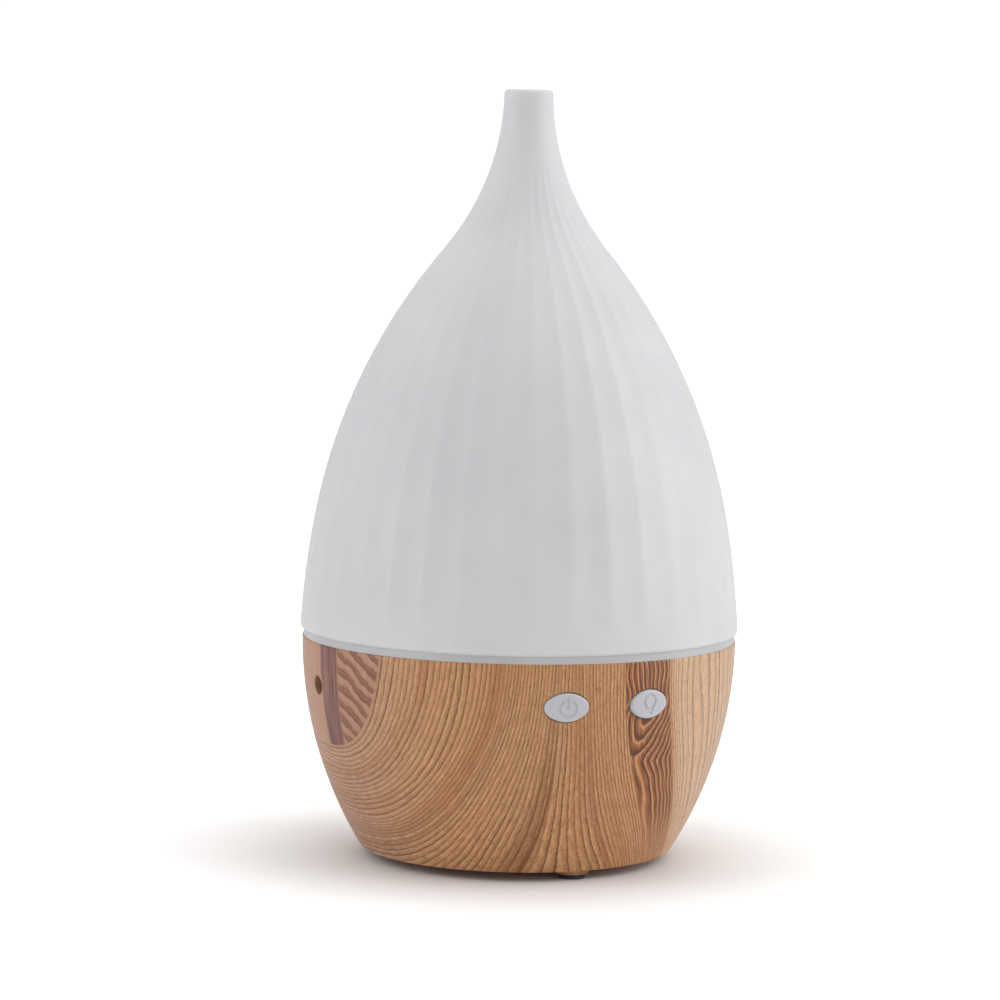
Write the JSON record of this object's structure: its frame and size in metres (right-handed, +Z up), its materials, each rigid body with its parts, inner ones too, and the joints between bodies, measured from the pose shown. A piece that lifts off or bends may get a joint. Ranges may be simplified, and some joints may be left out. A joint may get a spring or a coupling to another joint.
{
  "type": "cool mist humidifier",
  "caption": "Tabletop cool mist humidifier: fluted teardrop cover with a slim open neck on a rounded wood-effect base with oval push buttons; tank, mist disc, fan and boards inside.",
  "frame": {"origin": "on the surface it stands on, under the middle of the base", "axes": "+Z up along the cover's neck, -Y is the front with the two buttons, -X is the side with the power inlet"},
  "size_m": [0.1111, 0.111, 0.194],
  "materials": {
    "frosted_cover": "frosted, translucent",
    "mist_guide": "satin, translucent",
    "tank_plastic": "satin",
    "wood_print": "satin wood-effect print",
    "foot_rubber": "matt",
    "screw_steel": "zinc plated",
    "disc_ceramic": "glazed ceramic with a metal face",
    "silicone": "matt",
    "board": "solder mask",
    "led_lens": "clear resin over phosphor",
    "black_plastic": "moulded",
    "brass_part": "satin",
    "core_steel": "satin",
    "copper_wire": "enamelled wire",
    "magnet": "sintered",
    "chip_epoxy": "moulded epoxy",
    "can_sleeve": "shrink sleeve",
    "sink_aluminium": "extruded",
    "socket_plastic": "moulded",
    "button_plastic": "satin",
    "lead_red": "matt sleeve",
    "lead_black": "matt sleeve",
    "lead_yellow": "matt sleeve",
    "lead_white": "matt sleeve",
    "lead_blue": "matt sleeve"
  },
  "bodies": {
    "root": {"tank": "tank_plastic", "air_duct": "tank_plastic", "base_shell": "wood_print", "bottom_cover": "wood_print", "rubber_feet": "foot_rubber", "base_screws": "screw_steel", "piezo_disc": "disc_ceramic", "disc_seal": "silicone", "disc_retainer": "tank_plastic", "retainer_screws": "screw_steel", "led_board": "board", "leds": "led_lens", "led_board_screws": "screw_steel", "fan_frame": "black_plastic", "fan_bearing": "brass_part", "fan_stator": "core_steel", "stator_coils": "copper_wire", "fan_screws": "screw_steel", "main_board": "board", "control_chip": "chip_epoxy", "drive_coil": "copper_wire", "capacitors": "can_sleeve", "drive_transistor": "chip_epoxy", "heat_sink": "sink_aluminium", "board_sockets": "socket_plastic", "board_screws": "screw_steel", "button_board": "board", "switch_bodies": "black_plastic", "button_board_screws": "screw_steel", "jack_board": "board", "dc_jack": "black_plastic", "jack_pin": "core_steel", "jack_contact": "brass_part", "jack_board_screws": "screw_steel", "jack_leads": "lead_red", "fan_leads": "lead_black", "disc_leads": "lead_yellow", "led_leads": "lead_white", "button_leads": "lead_blue"},
    "inner_cover": {"inner_cover": "mist_guide"},
    "mist_cover": {"mist_cover": "frosted_cover"},
    "fan_rotor": {"fan_rotor": "black_plastic", "rotor_magnet": "magnet", "fan_shaft": "core_steel"},
    "power_button": {"power_button": "button_plastic", "power_plunger": "socket_plastic"},
    "light_button": {"light_button": "button_plastic", "light_plunger": "socket_plastic"}
  },
  "joints": [
    {"name": "inner_cover_lift", "type": "slide", "parent": "root", "child": "inner_cover", "axis": [0, 0, 1], "range_m": [0, 0.03]},
    {"name": "mist_cover_lift", "type": "slide", "parent": "inner_cover", "child": "mist_cover", "axis": [0, 0, 1], "range_m": [0, 0.06]},
    {"name": "fan_spin", "type": "hinge", "parent": "root", "child": "fan_rotor", "pos_m": [0, 0.018, 0.0105], "axis": [0, 0, 1], "continuous": true},
    {"name": "power_button_press", "type": "slide", "parent": "root", "child": "power_button", "axis": [0, 1, 0], "range_m": [0, 0.0005], "stiffness_N_per_m": 2000},
    {"name": "light_button_press", "type": "slide", "parent": "root", "child": "light_button", "axis": [0, 1, 0], "range_m": [0, 0.0005], "stiffness_N_per_m": 2000}
  ]
}
